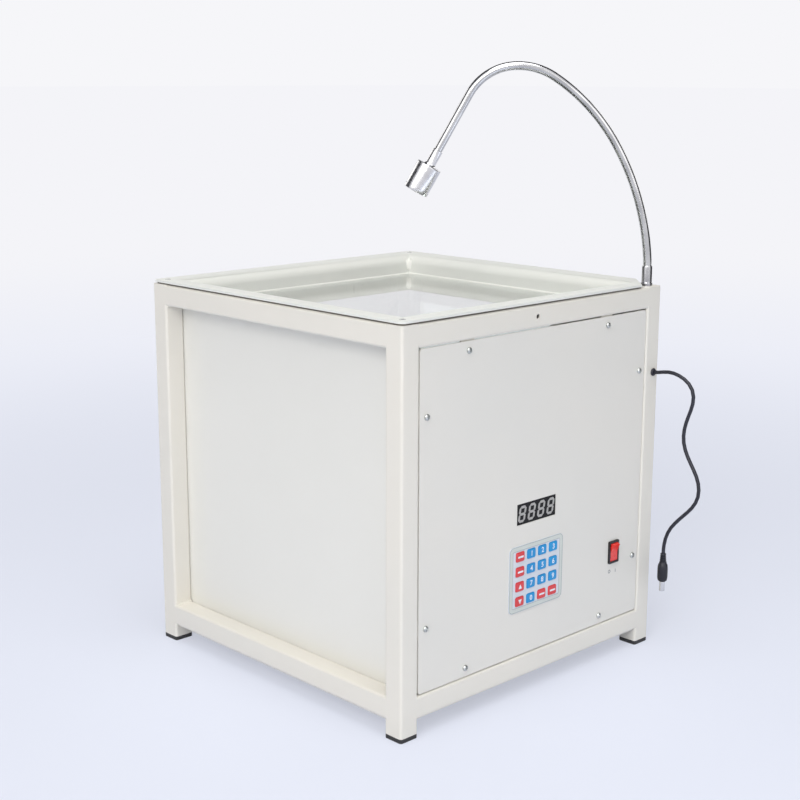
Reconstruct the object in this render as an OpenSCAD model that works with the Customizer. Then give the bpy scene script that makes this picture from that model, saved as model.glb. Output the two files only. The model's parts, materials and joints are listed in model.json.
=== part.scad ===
/* [Frame] */
// Width of the frame, left to right
frame_w = 340; // [280:1:420]
// Depth of the frame, front to back
frame_d = 340; // [280:1:420]
// Height of the frame's top above the table
frame_h = 355; // [335:1:420]
// Side of the square tube
tube = 20; // [19:0.5:25]
// Wall of the square tube
tube_wall = 1.5; // [1.2:0.1:2]
// Outer corner radius of the tube
tube_r = 2.5; // [1.8:0.1:3]
// Underside of the bottom rails above the table
rail_z = 17; // [15:0.5:30]
// Height of the bore for an accessory bracket's centre below the frame's top
bracket_hole_drop = 10; // [8:0.5:12]
// Distance of that bore to the right of the frame's middle
bracket_hole_shift = -4; // [-60:1:40]
// Diameter of that bore
bracket_hole_d = 4.4; // [3.5:0.1:6]

/* [Feet] */
// Thickness of a foot's sole
foot_t = 4; // [2:0.5:8]
// Height of a foot's plug inside the tube
foot_plug_h = 10; // [6:1:20]

/* [Sheet panels] */
// Sheet thickness
panel_t = 1.5; // [1:0.1:3]
// Groove between a panel and the tubes
panel_gap = 1; // [0.5:0.1:2]
// Depth of a panel's face behind the tubes' faces
panel_recess = 1; // [0.5:0.1:2]
// Corner radius of a panel
panel_r = 3; // [1:0.5:6]
// Screw line's distance from the tube it runs along
screw_from_edge = 9; // [7:0.5:12]
// Screw's distance from the corner along that line
screw_from_corner = 58; // [30:1:80]
// Width of a welded tab
tab_w = 16; // [12:1:30]
// Thickness of a welded tab
tab_t = 2; // [1.5:0.5:4]

/* [Screws] */
// Shank diameter
screw_d = 3; // [2.5:0.1:3.4]
// Head diameter
screw_head_d = 5.6; // [5:0.1:6]
// Head height
screw_head_h = 2.1; // [1.6:0.1:2.6]

/* [Tray] */
// Thickness of the rubber gasket under the tray's flange
gasket_t = 1.5; // [1:0.5:4]
// How far the gasket stays behind the flange's edge
gasket_inset = 1.5; // [0.5:0.5:4]
// Sheet thickness of the tray
pan_t = 2; // [1.5:0.5:3]
// Gap between the tray's wall and the screen's inner face
pan_gap = 1; // [0.6:0.1:3]
// Depth of the tray down to the glass
pan_depth = 20; // [15:1:35]
// Outer bend radius between flange and wall
pan_bend_r = 4; // [3.5:0.5:6]
// Width of the ledge that carries the glass
pan_ledge = 12; // [6:1:20]
// Corner radius of the flange
flange_r = 6; // [3:0.5:7]
// Cut across the flange's corner at the lamp
flange_cut = 30; // [27:1:36]
// Thickness of the glass bottom
glass_t = 4; // [3:0.5:6]
// Clearance around the glass
glass_gap = 0.5; // [0.3:0.1:1]

/* [Screen and mirror] */
// Thickness of the frosted screen
screen_t = 3; // [2:0.5:5]
// How far the screen reaches behind the posts
screen_lap = 10; // [4:0.5:13]
// Thickness of the mirror
mirror_t = 4; // [3:0.5:6]
// Width of the mirror, front to back
mirror_w = 280; // [200:1:290]
// Length of the mirror along its slope
mirror_len = 380; // [300:1:390]
// Distance from the screen's inner face to the mirror's lower edge
mirror_gap = 5; // [3:0.5:20]
// Leg of the angle strips under the mirror
ledge_leg = 12; // [8:1:20]
// Thickness of the angle strips
ledge_t = 1.5; // [1:0.5:3]

/* [Display] */
// Width of the display
display_w = 52; // [40:0.1:60]
// Height of the display
display_h = 19.2; // [14:0.1:24]
// Depth of the display's body
display_t = 8; // [6:0.5:10]
// Distance of the display's centre to the right of the frame's middle
display_shift = -1.5; // [-15:0.5:10]
// Centre of the display above the table
display_z = 170; // [165:0.5:200]

/* [Keypad] */
// Width of the keypad
keypad_w = 72.5; // [66:0.5:80]
// Height of the keypad
keypad_h = 62; // [58:0.5:70]
// Corner radius of the keypad
keypad_r = 5; // [1:0.5:6]
// Distance of the keypad's centre to the right of the frame's middle
keypad_shift = -1; // [-15:0.5:10]
// Centre of the keypad above the table
keypad_z = 110.5; // [100:0.5:115]
// Key spacing across
key_pitch_x = 14.9; // [14:0.1:16]
// Key spacing up
key_pitch_z = 13.9; // [12.5:0.1:14.4]
// Key width
key_w = 11; // [9:0.1:12.5]
// Key height
key_h = 8.8; // [8:0.1:11]
// How far a key stands out of the keypad's face
key_proud = 0.9; // [0.6:0.1:1.5]
// Key travel
key_travel = 0.5; // [0.3:0.1:0.8]

/* [Switch] */
// Width of the switch's bezel
switch_w = 14.6; // [13.6:0.1:18]
// Height of the switch's bezel
switch_h = 22; // [20:0.1:24]
// Distance of the switch's centre from the right face
switch_from_right = 59; // [50:0.5:65]
// Centre of the switch above the table
switch_z = 105.5; // [95:0.5:150]
// Length of the switch's body behind the panel
switch_body_t = 18; // [14:0.5:19]
// Tilt of the rocker either way from the middle
rocker_tilt = 10; // [6:1:12]

/* [Lamp] */
// Distance of the neck's foot from the frame's two outer faces
neck_inset = 10; // [8:0.5:10.5]
// Diameter of the gooseneck
neck_d = 8; // [7:0.1:9]
// Bore of the gooseneck for its wires
neck_bore_d = 3; // [2:0.1:3.4]
// Length of the neck inside the ferrule
neck_in_ferrule = 16; // [13:0.5:18]
// Length and turn of the neck's first bend
neck_len_1 = 7; // [6:0.5:12]
neck_turn_1 = 4.5; // [1:0.5:10]
// Length and turn of the second bend
neck_len_2 = 110.5; // [60:0.5:140]
neck_turn_2 = 25.5; // [10:0.5:35]
// Length and turn of the third bend
neck_len_3 = 85; // [60:0.5:120]
neck_turn_3 = 27; // [15:0.5:35]
// Length and turn of the fourth bend
neck_len_4 = 41; // [35:0.5:60]
neck_turn_4 = 38; // [25:0.5:45]
// Length and turn of the fifth bend
neck_len_5 = 49; // [40:0.5:70]
neck_turn_5 = 56; // [40:0.5:60]
// Length of the neck's straight end
neck_end_len = 74; // [50:0.5:100]
// Diameter of the ferrule's foot
ferrule_d = 10.6; // [10:0.1:12]
// Height of the ferrule
ferrule_h = 19; // [14:0.5:24]
// Gap between two neck segments
neck_joint_gap = 1.6; // [1.4:0.1:2]
// Diameter of the lamp head
lamp_d = 24; // [20:0.5:32]
// Length of the lamp head
lamp_len = 27; // [22:0.5:40]
// Length of the lamp head's stem
lamp_stem_len = 16; // [12:0.5:24]

/* [Cord] */
// Diameter of the cord
cord_d = 3.5; // [3:0.1:4]
// Height of the cord's exit above the table
cord_z = 273; // [273:0.5:273.5]
// Distance of the cord's exit from the right face
cord_from_right = 8; // [8:0.1:8.4]
// Diameter of the plug's moulded body
plug_d = 10; // [8:0.1:12]
// Length of the plug's moulded body
plug_len = 28.5; // [20:0.5:34]
// Diameter of the plug's barrel
barrel_d = 5.5; // [5:0.1:6]
// Bore of the plug's barrel
barrel_bore_d = 2.1; // [1.7:0.1:2.5]
// Length of the plug's barrel
barrel_len = 9.5; // [8:0.5:12]

/* [Hidden] */
$fn = 64;

cream = [0.85, 0.85, 0.82];
panel_grey = [0.84, 0.84, 0.82];
black = [0.06, 0.06, 0.07];
steel = [0.72, 0.72, 0.74];
key_red = [0.78, 0.16, 0.20];
key_blue = [0.16, 0.38, 0.72];

// Names of the keys, row 1 at the top and column 1 at the left
KEY_ROWS = 4;
KEY_COLS = 4;
function key_name(row, col) = str("key_row", row, "_col", col);
KEY_NODES = [for (row = [1 : KEY_ROWS], col = [1 : KEY_COLS]) key_name(row, col)];

// Clearances
slip = 0.1;          // between flat faces of a plug and its hole
running = 0.05;      // radial, between a pin or shank and its bore
joint_gap = 0.3;     // between curved faces that move past each other
screw_gap = 0.2;     // radial, around a screw in a clearance hole
sealant_t = 0.3;     // bed of sealant between the glass and its ledge
cut = 1;             // how far a cutting shape reaches past what it cuts

// Frame
top_rail_z = frame_h - tube;
opening_lo = rail_z + tube;
opening_hi = top_rail_z;
opening_h = opening_hi - opening_lo;
post_len = frame_h - foot_t;
bore_in_tube = tube - 2 * tube_wall;
bracket_hole_x = frame_w / 2 + bracket_hole_shift;

// Screws with flat heads, at 45 degrees
flat_head_h = (screw_head_d - screw_d) / 2 + running;

// Panels, in the local frame of one face: x along the face, y inwards, z up
panel_back_y = panel_recess + panel_t;
tab_len = 2 * screw_from_edge;
shank_len = panel_t + tab_t + 2;

// Tray
gasket_top = frame_h + gasket_t;
flange_top = gasket_top + pan_t;
screen_x = tube;
wall_out = screen_x + screen_t + pan_gap;
wall_in = wall_out + pan_t;
glass_top = flange_top - pan_depth;
glass_bottom = glass_top - glass_t;
ledge_top = glass_bottom - sealant_t;
pan_bottom = ledge_top - pan_t;
ledge_in = wall_in + pan_ledge;
tray_screw_in = tube / 2;

// Mirror, at 45 degrees: low at the screen, high at the right
mirror_low_x = screen_x + screen_t + mirror_gap;
mirror_low_z = opening_lo + mirror_t;
mirror_y = (frame_d - mirror_w) / 2;

// Behind the front panel
keypad_x = frame_w / 2 + keypad_shift;
display_x = frame_w / 2 + display_shift;
board_y = panel_recess + 0.2 + display_t;
board_t = 1.6;
board_margin = 8;
board_x0 = keypad_x - keypad_w / 2 - board_margin;
board_w = keypad_w + 2 * board_margin;
board_z0 = keypad_z - keypad_h / 2;
board_z1 = display_z + display_h / 2 + 2 * board_margin;
standoff_d = 5.5;
standoff_in = 5;

// Keypad
keypad_face_t = 0.8;
keypad_lip = 3.5;
keypad_face_y = panel_recess - keypad_face_t;
keypad_back_y = panel_back_y + 3;
key_gap = 0.2;
key_r = 1.5;
key_back_gap = 0.2;
key_pocket_y = keypad_back_y - 1.2;
key_front_y = keypad_face_y - key_proud;
key_back_y = key_pocket_y - key_travel - key_back_gap;

// Switch
switch_x = frame_w - switch_from_right;
switch_rim = 1.9;
switch_step = 1.0;
bezel_t = 1.8;
bezel_r = 1;
rocker_pivot_y = panel_recess + 0.5;
rocker_w = switch_w - 2 * (switch_rim + joint_gap);
rocker_r = switch_h / 2 - switch_rim - joint_gap;
rocker_face = 2.2;
rocker_depth = 5;
rocker_pin_d = 2;
rocker_pin_len = 0.7;
switch_cavity_t = 11;

// Neck: each run is [length, turn in degrees], from the ferrule's socket to the head
neck_runs = [
    [neck_in_ferrule, 0], [neck_len_1, neck_turn_1], [neck_len_2, neck_turn_2],
    [neck_len_3, neck_turn_3], [neck_len_4, neck_turn_4], [neck_len_5, neck_turn_5],
    [neck_end_len, 0]];
neck_heading = 135;
neck_steps = 180;
neck_x = frame_w - neck_inset;
neck_y = neck_inset;
ferrule_socket_z = frame_h + ferrule_h - neck_runs[0][0];
ferrule_foot_h = 3;
ferrule_neck_d = neck_d + 1.4;
ferrule_shank_len = 8;
ferrule_shank_d = neck_d - 0.2;
ball_r = neck_d / 2 - 1.1;
ball_root = 1.5;
ball_bore_d = neck_bore_d - 2 * joint_gap;
cup_r = ball_r + joint_gap;
lamp_bore_r = neck_d / 2 + running;
stem_d = neck_d + 1.6;
stem_floor = 3;
lamp_lip = 1.8;

// Cord: points of the route in its own plane, [forward of the front face, height]
cord_route = [
    [2, 273], [6, 273.4], [12, 274.6], [18, 275.4], [24, 275.2], [30, 273.8], [36, 271.4],
    [41.5, 267.6], [45.5, 262.4], [47.2, 256], [46.8, 249.5], [45, 243], [42.6, 236.6],
    [40.4, 230.2], [38.8, 223.6], [38.2, 217], [38.8, 210.4], [40.8, 204], [43.8, 198],
    [47.4, 192.2], [51.2, 186.4], [54.6, 180.6], [57, 174.4], [58, 168], [57.4, 161.4],
    [55, 155.2], [51.4, 149.6], [47, 144.6], [42.2, 139.8], [37.4, 135], [32.8, 130],
    [28.6, 124.8], [25.2, 119], [22.8, 112.6], [21.4, 106], [21, 101.6], [21, 97.5]];
cord_x = frame_w - cord_from_right;
cord_sides = 8;
grommet_t = 2;
grommet_d = cord_d + 4;
grommet_shank_d = cord_d + 2;
plug_top = cord_route[len(cord_route) - 1][1];
plug_fwd = cord_route[len(cord_route) - 1][0];

// A rectangle with round corners, from the origin
module round_rect(w, h, r) {
    translate([r, 0]) square([w - 2 * r, h]);
    translate([0, r]) square([w, h - 2 * r]);
    for (x = [r, w - r], y = [r, h - r]) translate([x, y]) circle(r = r);
}

// Square tube standing on the origin
module tube_bar(len) {
    inner_r = tube_r - tube_wall + 0.1;
    linear_extrude(len) difference() {
        round_rect(tube, tube, tube_r);
        translate([tube_wall, tube_wall]) round_rect(bore_in_tube, bore_in_tube, inner_r);
    }
}

module rail_x(y, z) {
    translate([tube, y, z]) rotate([90, 0, 90]) tube_bar(frame_w - 2 * tube);
}

module rail_y(x, z) {
    translate([x + tube, tube, z]) rotate([90, 0, 180]) tube_bar(frame_d - 2 * tube);
}

// Puts its child on one of the four faces: 0 front, 1 right, 2 back, 3 left
module on_face(side) {
    corner = [[0, 0, 0], [frame_w, 0, 0], [frame_w, frame_d, 0], [0, frame_d, 0]][side];
    translate(corner) rotate([0, 0, 90 * side]) children();
}

function face_len(side) = side % 2 == 0 ? frame_w : frame_d;

// Screw places of a panel, in its face's frame, each with the tab's two sides
function panel_screw_spots(len) = concat(
    [for (x = [tube + screw_from_corner, len - tube - screw_from_corner],
          z = [opening_lo + screw_from_edge, opening_hi - screw_from_edge]) [x, z, tab_w, tab_len]],
    [for (x = [tube + screw_from_edge, len - tube - screw_from_edge],
          z = [opening_lo + screw_from_corner, opening_hi - screw_from_corner]) [x, z, tab_len, tab_w]]);

// Screws of the base plate along one bottom rail
function base_screw_spots(len) = [tube + screw_from_corner, len - tube - screw_from_corner];

// Corners of the tray's flange that have a screw
tray_screw_spots = [
    [tray_screw_in, tray_screw_in],
    [tray_screw_in, frame_d - tray_screw_in],
    [frame_w - tray_screw_in, frame_d - tray_screw_in]];

// A hole along y, in a face's frame
module hole_y(x, z, d, y0, y1) {
    translate([x, y0, z]) rotate([-90, 0, 0]) cylinder(d = d, h = y1 - y0);
}

// Pan-head screw: head above z = 0, shank below
module pan_screw(len) {
    edge = screw_head_h * 0.45;
    crown_d = screw_head_d * 0.7;
    cylinder(d = screw_head_d, h = edge);
    translate([0, 0, edge]) cylinder(d1 = screw_head_d, d2 = crown_d, h = screw_head_h - edge);
    translate([0, 0, -len]) cylinder(d = screw_d - 2 * running, h = len);
}

// Flat-head screw, flush at z = 0
module flat_screw(len) {
    shank_d = screw_d - 2 * running;
    translate([0, 0, -flat_head_h]) cylinder(d1 = shank_d, d2 = screw_head_d, h = flat_head_h);
    translate([0, 0, -len]) cylinder(d = shank_d, h = len - flat_head_h);
}

module post(x, y) {
    color(cream) difference() {
        translate([x, y, foot_t]) {
            tube_bar(post_len);
            translate([0, 0, post_len - tube_wall])
                linear_extrude(tube_wall) round_rect(tube, tube, tube_r);
        }
        for (spot = tray_screw_spots)
            translate([spot[0], spot[1], frame_h - 2 * tube_wall]) cylinder(d = screw_d, h = 3 * tube_wall);
        children();
    }
}

module post_front_left() { post(0, 0); }

module post_front_right() {
    post(frame_w - tube, 0) {
        translate([neck_x, neck_y, frame_h - 2 * tube_wall])
            cylinder(d = ferrule_shank_d + 2 * running, h = 3 * tube_wall);
        hole_y(cord_x, cord_z, grommet_shank_d + 2 * running, -cut, tube / 2);
    }
}

module post_back_left() { post(0, frame_d - tube); }
module post_back_right() { post(frame_w - tube, frame_d - tube); }

module top_rail_front() {
    color(cream) difference() {
        rail_x(0, top_rail_z);
        hole_y(bracket_hole_x, frame_h - bracket_hole_drop, bracket_hole_d, -cut, tube / 2);
    }
}

module top_rail_back() { color(cream) rail_x(frame_d - tube, top_rail_z); }
module top_rail_left() { color(cream) rail_y(0, top_rail_z); }
module top_rail_right() { color(cream) rail_y(frame_w - tube, top_rail_z); }

// Bottom rail of one face, with tapped holes for the base plate's screws
module bottom_rail(side) {
    color(cream) difference() {
        if (side % 2 == 0) rail_x(side == 0 ? 0 : frame_d - tube, rail_z);
        else rail_y(side == 3 ? 0 : frame_w - tube, rail_z);
        on_face(side) for (x = base_screw_spots(face_len(side)))
            translate([x, tube / 2, rail_z - cut]) cylinder(d = screw_d, h = tube_wall + 2 * cut);
    }
}

module bottom_rail_front() { bottom_rail(0); }
module bottom_rail_right() { bottom_rail(1); }
module bottom_rail_back() { bottom_rail(2); }
module bottom_rail_left() { bottom_rail(3); }

module foot_caps() {
    plug = bore_in_tube - 2 * slip;
    inset = tube_wall + slip;
    color(black) for (x = [0, frame_w - tube], y = [0, frame_d - tube]) translate([x, y, 0]) {
        linear_extrude(foot_t) round_rect(tube, tube, tube_r);
        translate([inset, inset, foot_t]) linear_extrude(foot_plug_h) round_rect(plug, plug, 1);
    }
}

// Tabs welded to the tubes behind the three sheet panels
module panel_tabs() {
    color(cream) for (side = [0 : 2]) on_face(side) for (spot = panel_screw_spots(face_len(side)))
        difference() {
            translate([spot[0] - spot[2] / 2, panel_back_y, spot[1] - spot[3] / 2])
                cube([spot[2], tab_t, spot[3]]);
            hole_y(spot[0], spot[1], screw_d, 0, panel_back_y + tab_t + cut);
        }
}

// Sheet panel in one face's opening
module side_panel(side) {
    len = face_len(side);
    w = len - 2 * (tube + panel_gap);
    h = opening_h - 2 * panel_gap;
    on_face(side) difference() {
        translate([tube + panel_gap, panel_back_y, opening_lo + panel_gap])
            rotate([90, 0, 0]) linear_extrude(panel_t) round_rect(w, h, panel_r);
        for (spot = panel_screw_spots(len))
            hole_y(spot[0], spot[1], screw_d + 2 * screw_gap, 0, panel_back_y + cut);
    }
}

// A window through the front panel
module panel_window(x, z, w, h) {
    translate([x - w / 2, 0, z - h / 2]) cube([w, panel_back_y + cut, h]);
}

module front_panel() {
    color(panel_grey) difference() {
        side_panel(0);
        panel_window(display_x, display_z, display_w + 2 * slip, display_h + 2 * slip);
        panel_window(keypad_x, keypad_z, keypad_w - 2 * keypad_lip + 2 * slip,
                     keypad_h - 2 * keypad_lip + 2 * slip);
        panel_window(switch_x, switch_z, switch_w - 2 * switch_step + 2 * slip,
                     switch_h - 2 * switch_step + 2 * slip);
    }
}

module right_panel() { color(panel_grey) side_panel(1); }
module back_panel() { color(panel_grey) side_panel(2); }

// Plate under the bottom rails, notched around the legs
module base_plate() {
    inset = 3;
    notch = tube + panel_gap / 2;
    color(cream) difference() {
        translate([inset, inset, rail_z - panel_t])
            cube([frame_w - 2 * inset, frame_d - 2 * inset, panel_t]);
        for (x = [0, frame_w - notch], y = [0, frame_d - notch])
            translate([x, y, rail_z - panel_t - cut]) cube([notch, notch, panel_t + 2 * cut]);
        for (side = [0 : 3]) on_face(side) for (x = base_screw_spots(face_len(side)))
            translate([x, tube / 2, rail_z - panel_t - cut])
                cylinder(d = screw_d + 2 * screw_gap, h = panel_t + 2 * cut);
    }
}

module frame_screws() {
    color(steel) {
        for (side = [0 : 2]) on_face(side) for (spot = panel_screw_spots(face_len(side)))
            translate([spot[0], panel_recess, spot[1]]) rotate([90, 0, 0]) pan_screw(shank_len);
        for (side = [0 : 3]) on_face(side) for (x = base_screw_spots(face_len(side)))
            translate([x, tube / 2, rail_z - panel_t]) rotate([180, 0, 0])
                pan_screw(panel_t + tube_wall + 2);
        for (spot = tray_screw_spots) translate([spot[0], spot[1], flange_top])
            flat_screw(pan_t + gasket_t + tube_wall + 2);
    }
}

// Frosted sheet behind the left face's tubes, wider between the front and back rails
module screen() {
    low_z = rail_z + joint_gap;
    color([0.9, 0.9, 0.88]) translate([screen_x, 0, 0]) {
        translate([0, tube + joint_gap, low_z])
            cube([screen_t, frame_d - 2 * (tube + joint_gap), frame_h - joint_gap - 1 - low_z]);
        translate([0, tube - screen_lap, opening_lo + joint_gap])
            cube([screen_t, frame_d - 2 * (tube - screen_lap), opening_h - 2 * joint_gap]);
    }
}

// Fills the corner outside a circle's quarter, from the circle's centre
module round_corner(r) {
    difference() {
        square(r);
        circle(r = r);
    }
}

// Outside of the tray across one direction: its flange, and its body below
module pan_outside(len) {
    bend = pan_bend_r;
    translate([0, gasket_top]) square([len, pan_t]);
    translate([wall_out, pan_bottom]) square([len - 2 * wall_out, flange_top - pan_bottom]);
    for (side = [0, 1]) translate([side * len, 0]) mirror([side, 0])
        translate([wall_in - bend, flange_top - bend]) round_corner(bend - pan_t);
}

// Inside of the tray across one direction, open at the top
module pan_inside(len) {
    bend = pan_bend_r;
    translate([wall_in, ledge_top]) square([len - 2 * wall_in, flange_top + cut - ledge_top]);
    translate([wall_in - bend, flange_top])
        square([len - 2 * (wall_in - bend), cut]);
    for (side = [0, 1]) translate([side * len, 0]) mirror([side, 0])
        translate([wall_in - bend, flange_top - bend]) round_corner(bend);
}

module across_x() {
    translate([0, frame_d, 0]) rotate([90, 0, 0]) linear_extrude(frame_d) children();
}

module across_y() {
    rotate([90, 0, 90]) linear_extrude(frame_w) children();
}

// Outline of the flange or the gasket, cut across at the lamp's corner
module flange_outline(inset) {
    side = flange_cut + inset;
    difference() {
        translate([inset, inset]) round_rect(frame_w - 2 * inset, frame_d - 2 * inset, flange_r);
        translate([frame_w - side, 0])
            polygon([[0, 0], [0, -cut], [side + cut, -cut], [side + cut, side], [side, side]]);
    }
}

module tray_screw_holes(z0, z1) {
    for (spot = tray_screw_spots) translate([spot[0], spot[1], z0])
        cylinder(d = screw_d + 2 * screw_gap, h = z1 - z0);
}

module tray_pan() {
    color(cream) difference() {
        intersection() {
            across_x() pan_outside(frame_w);
            across_y() pan_outside(frame_d);
            translate([0, 0, pan_bottom - cut])
                linear_extrude(flange_top - pan_bottom + 2 * cut) flange_outline(0);
        }
        intersection() {
            across_x() pan_inside(frame_w);
            across_y() pan_inside(frame_d);
        }
        translate([ledge_in, ledge_in, pan_bottom - cut])
            cube([frame_w - 2 * ledge_in, frame_d - 2 * ledge_in, pan_t + 2 * cut]);
        tray_screw_holes(gasket_top - cut, flange_top + cut);
        for (spot = tray_screw_spots) translate([spot[0], spot[1], flange_top - flat_head_h])
            cylinder(d1 = screw_d, d2 = screw_head_d + 2 * running, h = flat_head_h);
    }
}

module tray_gasket() {
    inner = tube - 1;
    color(black) difference() {
        translate([0, 0, frame_h]) linear_extrude(gasket_t) difference() {
            flange_outline(gasket_inset);
            translate([inner, inner]) square([frame_w - 2 * inner, frame_d - 2 * inner]);
        }
        tray_screw_holes(frame_h - cut, gasket_top + cut);
    }
}

module tray_glass() {
    inset = wall_in + glass_gap;
    color([0.8, 0.9, 0.9, 0.35]) translate([inset, inset, glass_bottom])
        cube([frame_w - 2 * inset, frame_d - 2 * inset, glass_t]);
}

// Places its child on the mirror's slope: x up the slope, z out of the glass
module on_slope() {
    translate([mirror_low_x, 0, mirror_low_z]) rotate([0, -45, 0]) children();
}

module mirror_plate() {
    color([0.75, 0.8, 0.85]) on_slope() translate([0, mirror_y, -mirror_t])
        cube([mirror_len, mirror_w, mirror_t]);
}

// Two angle strips under the mirror's long edges, each with a leg below and a bracket above
module mirror_ledges() {
    ledge_side();
    translate([0, frame_d, 0]) mirror([0, 1, 0]) ledge_side();
}

// A point of the strip's middle layer, t up the slope: [x, z]
function strip_at(t) = let (down = mirror_t + ledge_t / 2)
    [mirror_low_x + (t + down) * cos(45), mirror_low_z + (t - down) * sin(45)];

module ledge_side() {
    side_y = mirror_y - ledge_t - slip;
    hook = 3;
    strip_x0 = -ledge_t - slip;
    strip_len = mirror_len - strip_x0;
    foot = strip_at(1);
    top = strip_at(mirror_len - ledge_leg / 2);
    rail_x0 = frame_w - tube;
    color(steel) {
        on_slope() translate([strip_x0, side_y, -mirror_t - ledge_t]) {
            cube([strip_len, ledge_leg, ledge_t]);
            cube([strip_len, ledge_t, ledge_t + mirror_t]);
            cube([ledge_t, ledge_leg, ledge_t + hook]);
        }
        translate([foot[0], side_y, rail_z]) cube([ledge_t, ledge_leg, foot[1] - rail_z]);
        translate([top[0], side_y, top[1] - ledge_t]) cube([rail_x0 - top[0], ledge_leg, ledge_t]);
        translate([rail_x0 - ledge_t, side_y, top[1] - ledge_t])
            cube([ledge_t, ledge_leg, top_rail_z + tube / 2 - top[1] + ledge_t]);
    }
}

module display_module() {
    color(black) translate([display_x - display_w / 2, panel_recess + 0.2, display_z - display_h / 2])
        cube([display_w, display_t, display_h]);
}

function key_x(col) = keypad_x + (col - (KEY_COLS + 1) / 2) * key_pitch_x;
function key_z(row) = keypad_z - (row - (KEY_ROWS + 1) / 2) * key_pitch_z;

// A block with round corners in the x-z plane, from y0 to y1
module face_block(x, z, w, h, r, y0, y1) {
    translate([x - w / 2, y1, z - h / 2]) rotate([90, 0, 0])
        linear_extrude(y1 - y0) round_rect(w, h, r);
}

module keypad_body() {
    color([0.82, 0.84, 0.88]) difference() {
        union() {
            face_block(keypad_x, keypad_z, keypad_w, keypad_h, keypad_r, keypad_face_y, panel_recess);
            face_block(keypad_x, keypad_z, keypad_w - 2 * keypad_lip, keypad_h - 2 * keypad_lip,
                       1, panel_recess, keypad_back_y);
        }
        for (row = [1 : KEY_ROWS], col = [1 : KEY_COLS])
            face_block(key_x(col), key_z(row), key_w + 2 * key_gap, key_h + 2 * key_gap,
                       key_r + key_gap, keypad_face_y - cut, key_pocket_y);
    }
}

function key_colour(row, col) =
    col == 1 ? key_red : (row < KEY_ROWS || col == 2) ? key_blue : key_red;

module key(row, col) {
    rim = 0.4;
    color(key_colour(row, col)) {
        face_block(key_x(col), key_z(row), key_w, key_h, key_r, key_front_y + rim, key_back_y);
        face_block(key_x(col), key_z(row), key_w - 2 * rim, key_h - 2 * rim, key_r,
                   key_front_y, key_front_y + rim);
    }
}

function board_corner_xs() = [board_x0 + standoff_in, board_x0 + board_w - standoff_in];
function board_corner_zs() = [board_z0 + standoff_in, board_z1 - standoff_in];

module control_board() {
    chip = [14, 2.4, 14];
    color([0.1, 0.35, 0.2]) difference() {
        union() {
            translate([board_x0, board_y, board_z0]) cube([board_w, board_t, board_z1 - board_z0]);
            translate([keypad_x - chip[0] / 2, board_y + board_t, keypad_z]) cube(chip);
        }
        for (x = board_corner_xs(), z = board_corner_zs())
            hole_y(x, z, screw_d, board_y - cut, board_y + board_t + cut);
    }
}

module board_standoffs() {
    color([0.8, 0.65, 0.3]) for (x = board_corner_xs(), z = board_corner_zs()) {
        hole_y(x, z, standoff_d, panel_back_y, board_y);
        hole_y(x, z, screw_d - 2 * running, board_y, board_y + board_t + 2);
    }
}

module switch_body() {
    cavity_w = switch_w - 2 * switch_rim;
    cavity_h = switch_h - 2 * switch_rim;
    body_w = switch_w - 2 * switch_step;
    body_h = switch_h - 2 * switch_step;
    pin_bore = rocker_pin_d + 2 * running;
    pin_reach = rocker_w / 2 + rocker_pin_len + running;
    color(black) difference() {
        union() {
            face_block(switch_x, switch_z, switch_w, switch_h, bezel_r, panel_recess - bezel_t, panel_recess);
            translate([switch_x - body_w / 2, panel_recess, switch_z - body_h / 2])
                cube([body_w, switch_body_t, body_h]);
            for (x = [-1, 1])
                translate([switch_x + x * body_w / 4 - 0.4, panel_recess + switch_body_t, switch_z - 3])
                    cube([0.8, 7, 6]);
        }
        translate([switch_x - cavity_w / 2, panel_recess - bezel_t - cut, switch_z - cavity_h / 2])
            cube([cavity_w, bezel_t + cut + switch_cavity_t, cavity_h]);
        translate([switch_x - pin_reach, rocker_pivot_y, switch_z]) rotate([0, 90, 0])
            cylinder(d = pin_bore, h = 2 * pin_reach);
    }
}

// The rocker's section: x up, y out of the panel, the pivot at the origin
module rocker_section() {
    rise = rocker_r * tan(rocker_tilt);
    intersection() {
        circle(r = rocker_r);
        rotate(rocker_tilt) polygon([
            [-rocker_r, rocker_face + rise], [0, rocker_face], [rocker_r, rocker_face + rise],
            [rocker_r, -1], [rocker_r / 2, -rocker_depth], [-rocker_r / 2, -rocker_depth], [-rocker_r, -1]]);
    }
}

module switch_rocker() {
    color(key_red) translate([switch_x, rocker_pivot_y, switch_z]) {
        translate([-rocker_w / 2, 0, 0]) rotate([0, 0, 90]) rotate([90, 0, 0]) rotate([0, 0, 90])
            linear_extrude(rocker_w) rocker_section();
        translate([-rocker_w / 2 - rocker_pin_len, 0, 0]) rotate([0, 90, 0])
            cylinder(d = rocker_pin_d, h = rocker_w + 2 * rocker_pin_len);
    }
}

// The neck's plane: x towards the tray's middle, z up
module neck_plane() {
    translate([neck_x, neck_y, 0]) rotate([0, 0, neck_heading]) children();
}

// Place and lean after a run, from [x, z, lean]
function after_run(at, run) = run[1] == 0
    ? [at[0] + run[0] * sin(at[2]), at[1] + run[0] * cos(at[2]), at[2]]
    : let (r = run[0] / (run[1] * PI / 180), lean = at[2] + run[1])
      [at[0] + r * (cos(at[2]) - cos(lean)), at[1] + r * (sin(lean) - sin(at[2])), lean];

neck_at = [for (i = 0, at = [0, ferrule_socket_z, 0]; i <= len(neck_runs);
                at = after_run(at, i < len(neck_runs) ? neck_runs[i] : [0, 0]), i = i + 1) at];
head_at = neck_at[len(neck_runs)];

// Puts its child at a place of the neck, z along the neck
module at_neck(at) {
    translate([at[0], 0, at[1]]) rotate([0, at[2], 0]) children();
}

// Cross-section of the neck's tube
module neck_ring() {
    difference() {
        circle(d = neck_d);
        circle(d = neck_bore_d);
    }
}

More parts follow.
